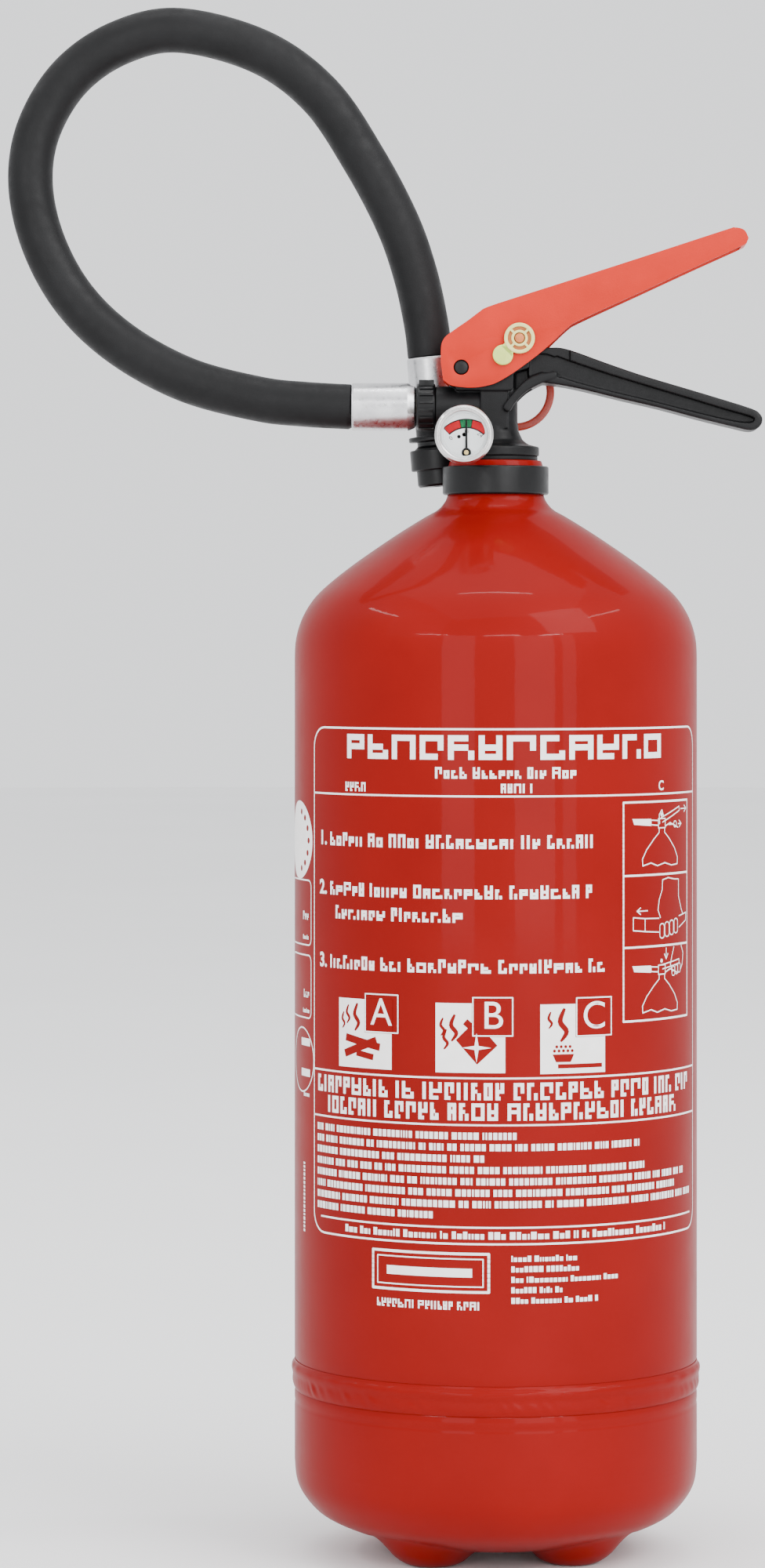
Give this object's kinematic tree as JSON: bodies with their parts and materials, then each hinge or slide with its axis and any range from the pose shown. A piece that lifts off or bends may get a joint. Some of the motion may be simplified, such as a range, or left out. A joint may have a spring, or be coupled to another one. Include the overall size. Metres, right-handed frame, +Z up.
{
  "type": "fire extinguisher",
  "caption": "Portable powder fire extinguisher: a red cylinder on pressed feet with a squeeze-grip valve, pressure gauge, safety pin and a short looped discharge hose.",
  "frame": {"origin": "on the floor, at the centre of the four feet, on the cylinder's axis", "axes": "+Z up along the cylinder's axis, +X towards the lever's free end, -Y towards the front, where the gauge is"},
  "size_m": [0.3011, 0.1624, 0.616],
  "materials": {
    "red_paint": "gloss red powder coat",
    "lever_paint": "satin orange-red coat",
    "black_coat": "satin black coat",
    "black_plastic": "satin black",
    "red_plastic": "satin dark red",
    "seal_plastic": "pale yellow-green, slightly translucent",
    "white_plastic": "natural white",
    "black_rubber": "smooth black",
    "crimped_aluminium": "drawn, bare",
    "brass": "machined",
    "steel": "bright",
    "brown_steel": "brown passivated",
    "spring_steel": "bright wire",
    "dial_print": "white printed face",
    "clear_glass": "clear",
    "needle_black": "black",
    "powder": "fine pale yellow powder, settled"
  },
  "bodies": {
    "extinguisher": {"cylinder_shell": "red_paint", "cylinder_base": "red_paint", "base_feet": "red_paint", "seam_weld": "red_paint", "powder_charge": "powder", "neck_boss": "red_paint", "neck_collar": "black_plastic", "neck_gasket": "black_rubber", "valve_body": "black_coat", "spring_retainer": "white_plastic", "siphon_tube": "white_plastic", "valve_spring": "spring_steel", "lever_pivot_pin": "black_coat", "carry_handle": "black_coat", "handle_rivet": "steel", "gauge_stem": "brass", "gauge_case": "steel", "gauge_bezel": "steel", "gauge_dial": "dial_print", "gauge_glass": "clear_glass", "gauge_coil": "brass", "outlet_nut": "black_plastic", "outlet_tail": "brass", "outlet_ferrule": "crimped_aluminium", "hose": "black_rubber", "nozzle_clip": "black_plastic"},
    "lever": {"operating_lever": "lever_paint"},
    "valve_stem": {"valve_stem": "brass", "stem_seal": "black_rubber", "stem_o_ring": "black_rubber"},
    "gauge_needle": {"gauge_needle": "needle_black"},
    "safety_pin": {"safety_pin": "brown_steel"},
    "pull_ring": {"pull_ring": "red_plastic"},
    "tamper_seal": {"tamper_seal": "seal_plastic"},
    "nozzle": {"nozzle": "black_plastic", "nozzle_ferrule": "crimped_aluminium", "nozzle_tail": "brass"}
  },
  "joints": [
    {"name": "lever_hinge", "type": "hinge", "parent": "extinguisher", "child": "lever", "pos_m": [-0.0136, 0, 0.4701], "axis": [0, 1, 0], "range_deg": [0, 8], "stiffness_Nm_per_rad": 3, "springref_deg": -5.73},
    {"name": "valve_stem_slide", "type": "slide", "parent": "extinguisher", "child": "valve_stem", "axis": [0, 0, -1], "range_m": [0, 0.0027], "deforming": ["valve_spring"]},
    {"name": "safety_pin_slide", "type": "slide", "parent": "extinguisher", "child": "safety_pin", "axis": [0, 1, 0], "range_m": [0, 0.045]},
    {"name": "pull_ring_swing", "type": "hinge", "parent": "safety_pin", "child": "pull_ring", "pos_m": [0.008, 0.02, 0.4756], "axis": [1, 0, 0], "range_deg": [-5, 80]},
    {"name": "tamper_seal_slide", "type": "slide", "parent": "extinguisher", "child": "tamper_seal", "axis": [0, -1, 0], "range_m": [0, 0.03]},
    {"name": "gauge_needle_hinge", "type": "hinge", "parent": "extinguisher", "child": "gauge_needle", "pos_m": [-0.0114, -0.0425, 0.4353], "axis": [0, 1, 0], "range_deg": [-48, 40], "stiffness_Nm_per_rad": 0.0005},
    {"name": "nozzle_slide", "type": "slide", "parent": "extinguisher", "child": "nozzle", "axis": [-0.0872, 0, 0.9962], "range_m": [0, 0.016], "deforming": ["hose"]}
  ],
  "couplings": [
    {"joint": "valve_stem_slide", "follows": "lever_hinge", "m_per_rad": 0.0188}
  ]
}
